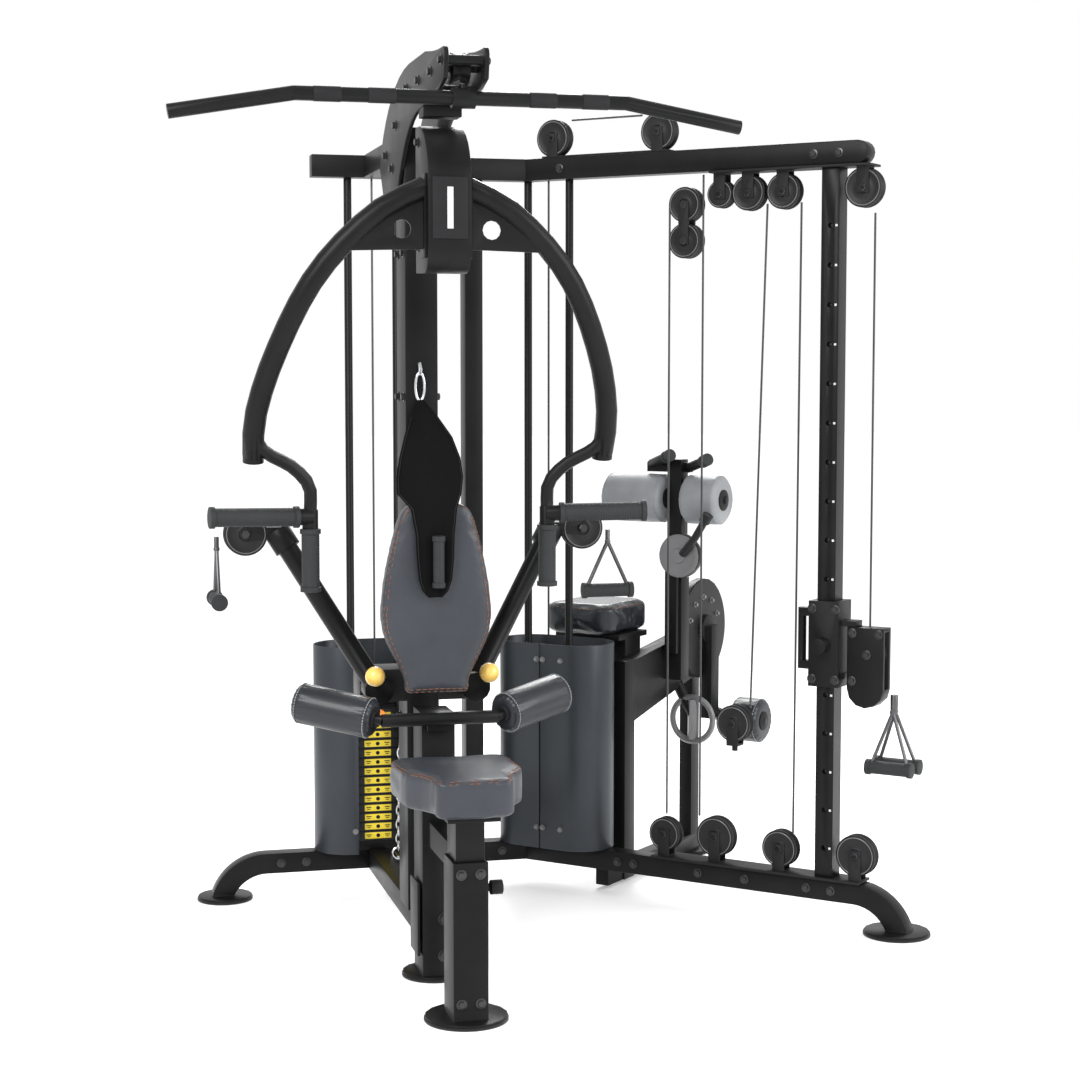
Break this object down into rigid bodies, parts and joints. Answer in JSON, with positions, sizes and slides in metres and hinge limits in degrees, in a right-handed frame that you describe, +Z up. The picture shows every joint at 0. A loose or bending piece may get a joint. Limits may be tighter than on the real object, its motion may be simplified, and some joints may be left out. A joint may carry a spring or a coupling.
{
  "type": "multi station home gym",
  "caption": "Steel home gym with press and lat pull tower, padded seat, shrouded weight stacks, cable arms, leg station and an adjustable cable column on an angled wing",
  "frame": {"origin": "centre of the main post's round foot plate, on the floor", "axes": "+Z up, the front station faces -Y, +X to the right of a person looking along +Y"},
  "size_m": [1.9649, 1.6843, 2.184],
  "materials": {
    "black_steel": "satin powder coat",
    "shroud_steel": "slate grey satin",
    "chrome": "polished",
    "black_rubber": "matt",
    "leather": "blue grey charcoal, stitched",
    "roller_leather": "glossy black",
    "pale_foam": "light grey",
    "cable": "black nylon coat",
    "stack_steel": "black",
    "webbing": "black woven",
    "orange_knob": "orange"
  },
  "bodies": {
    "frame": {"main_post": "black_steel", "front_post": "black_steel", "spine_rail": "black_steel", "left_rail": "black_steel", "right_rail": "black_steel", "main_upright": "black_steel", "back_column": "black_steel", "top_spine": "black_steel", "left_beam": "black_steel", "right_beam": "black_steel", "right_upright": "black_steel", "lat_boom": "black_steel", "left_rods": "black_steel", "left_stack": "stack_steel", "left_shroud": "shroud_steel", "right_rods": "black_steel", "right_stack": "stack_steel", "right_shroud": "shroud_steel", "ab_sling": "webbing", "back_pad": "leather", "roller_bar": "black_steel", "top_pulleys": "black_rubber", "beam_pulleys": "black_rubber", "base_pulleys": "black_rubber", "float_double": "black_rubber", "float_single": "black_rubber", "left_cable": "cable", "right_cable": "cable", "top_cable": "cable", "drop_cable_1": "cable", "drop_cable_2": "cable", "drop_cable_3": "cable", "drop_cable_4": "cable", "column_cable": "cable", "leg_frame": "black_steel", "leg_seat_pad": "leather"},
    "left_lift_body": {"left_head": "stack_steel"},
    "left_pin_body": {"left_pin": "orange_knob"},
    "right_lift_body": {"right_head": "stack_steel"},
    "lat_bar_body": {"lat_bar": "black_steel"},
    "press_body": {"press_yoke": "black_steel", "press_arm_left": "black_steel", "press_arm_right": "black_steel"},
    "seat_body": {"seat_post": "black_steel", "seat_pad": "leather"},
    "seat_pin_body": {"seat_pin": "black_rubber"},
    "thigh_roller_left_body": {"thigh_roller_left": "roller_leather"},
    "thigh_roller_right_body": {"thigh_roller_right": "roller_leather"},
    "arm_left_body": {"cable_arm_left": "black_steel"},
    "arm_right_body": {"cable_arm_right": "black_steel"},
    "stirrup_left_body": {"stirrup_left": "chrome"},
    "stirrup_right_body": {"stirrup_right": "chrome"},
    "leg_lever_body": {"leg_lever": "black_steel"},
    "ankle_roller_body": {"ankle_roller": "roller_leather"},
    "mast_body": {"thigh_mast": "black_steel"},
    "mast_roller_left_body": {"mast_roller_left": "pale_foam"},
    "mast_roller_right_body": {"mast_roller_right": "pale_foam"},
    "carriage_body": {"carriage": "black_steel"},
    "housing_body": {"pulley_housing": "black_steel"},
    "handles_body": {"column_handles": "chrome"}
  },
  "joints": [
    {"name": "left_lift", "type": "slide", "parent": "frame", "child": "left_lift_body", "axis": [0, 0, 1], "range_m": [0, 0.9], "deforming": ["left_cable"]},
    {"name": "left_pin_pull", "type": "slide", "parent": "left_lift_body", "child": "left_pin_body", "axis": [0, -1, 0], "range_m": [0, 0.05]},
    {"name": "lat_pull", "type": "slide", "parent": "frame", "child": "lat_bar_body", "axis": [0, 0, -1], "range_m": [0, 0.9]},
    {"name": "press_swing", "type": "hinge", "parent": "frame", "child": "press_body", "pos_m": [0, -0.09, 1.99], "axis": [-1, 0, 0], "range_deg": [0, 30]},
    {"name": "seat_height", "type": "slide", "parent": "frame", "child": "seat_body", "axis": [0, 0, 1], "range_m": [0, 0.1]},
    {"name": "seat_pin_pull", "type": "slide", "parent": "frame", "child": "seat_pin_body", "axis": [1, 0, 0], "range_m": [0, 0.02]},
    {"name": "thigh_roller_left_spin", "type": "hinge", "parent": "frame", "child": "thigh_roller_left_body", "pos_m": [-0.2335, -0.017, 0.658], "axis": [-0.8501, 0.5021, 0.1586], "continuous": true},
    {"name": "thigh_roller_right_spin", "type": "hinge", "parent": "frame", "child": "thigh_roller_right_body", "pos_m": [0.2335, -0.017, 0.658], "axis": [0.8501, 0.5021, 0.1586], "continuous": true},
    {"name": "arm_left_swing", "type": "hinge", "parent": "frame", "child": "arm_left_body", "pos_m": [-0.12, 0.105, 0.69], "axis": [0, -1, 0], "range_deg": [-15, 25]},
    {"name": "arm_right_swing", "type": "hinge", "parent": "frame", "child": "arm_right_body", "pos_m": [0.12, 0.105, 0.69], "axis": [0, 1, 0], "range_deg": [-15, 25]},
    {"name": "stirrup_left_swing", "type": "hinge", "parent": "arm_left_body", "child": "stirrup_left_body", "pos_m": [-0.495, 0.217, 1.06], "axis": [1, 0, 0], "range_deg": [-30, 30]},
    {"name": "stirrup_right_swing", "type": "hinge", "parent": "arm_right_body", "child": "stirrup_right_body", "pos_m": [0.495, 0.217, 1.06], "axis": [1, 0, 0], "range_deg": [-30, 30]},
    {"name": "right_lift", "type": "slide", "parent": "frame", "child": "right_lift_body", "axis": [0, 0, 1], "range_m": [0, 0.9], "deforming": ["right_cable"]},
    {"name": "leg_swing", "type": "hinge", "parent": "frame", "child": "leg_lever_body", "pos_m": [1.03185, 1.05587, 0.69], "axis": [0.7071, -0.7071, 0], "range_deg": [0, 70]},
    {"name": "ankle_roller_spin", "type": "hinge", "parent": "leg_lever_body", "child": "ankle_roller_body", "pos_m": [1.19519, 1.0891, 0.4], "axis": [0.7071, -0.7071, 0], "continuous": true},
    {"name": "mast_height", "type": "slide", "parent": "frame", "child": "mast_body", "axis": [0, 0, 1], "range_m": [0, 0.15]},
    {"name": "mast_roller_left_spin", "type": "hinge", "parent": "mast_body", "child": "mast_roller_left_body", "pos_m": [0.81759, 1.01415, 1.09], "axis": [0.7071, -0.7071, 0], "continuous": true},
    {"name": "mast_roller_right_spin", "type": "hinge", "parent": "mast_body", "child": "mast_roller_right_body", "pos_m": [0.97245, 0.85929, 1.09], "axis": [0.7071, -0.7071, 0], "continuous": true},
    {"name": "carriage_height", "type": "slide", "parent": "frame", "child": "carriage_body", "axis": [0, 0, 1], "range_m": [-0.1, 0.9], "deforming": ["column_cable"]},
    {"name": "housing_swivel", "type": "hinge", "parent": "carriage_body", "child": "housing_body", "pos_m": [1.14357, 0.15643, 0.7], "axis": [0, 0, 1], "range_deg": [-20, 20]},
    {"name": "handles_swing", "type": "hinge", "parent": "housing_body", "child": "handles_body", "pos_m": [1.2256, 0.0744, 0.62], "axis": [0.7071, 0.7071, 0], "range_deg": [-10, 20]}
  ],
  "couplings": [
    {"joint": "lat_pull", "follows": "left_lift", "ratio": 1},
    {"joint": "leg_swing", "follows": "right_lift", "rad_per_m": 1.3575}
  ]
}
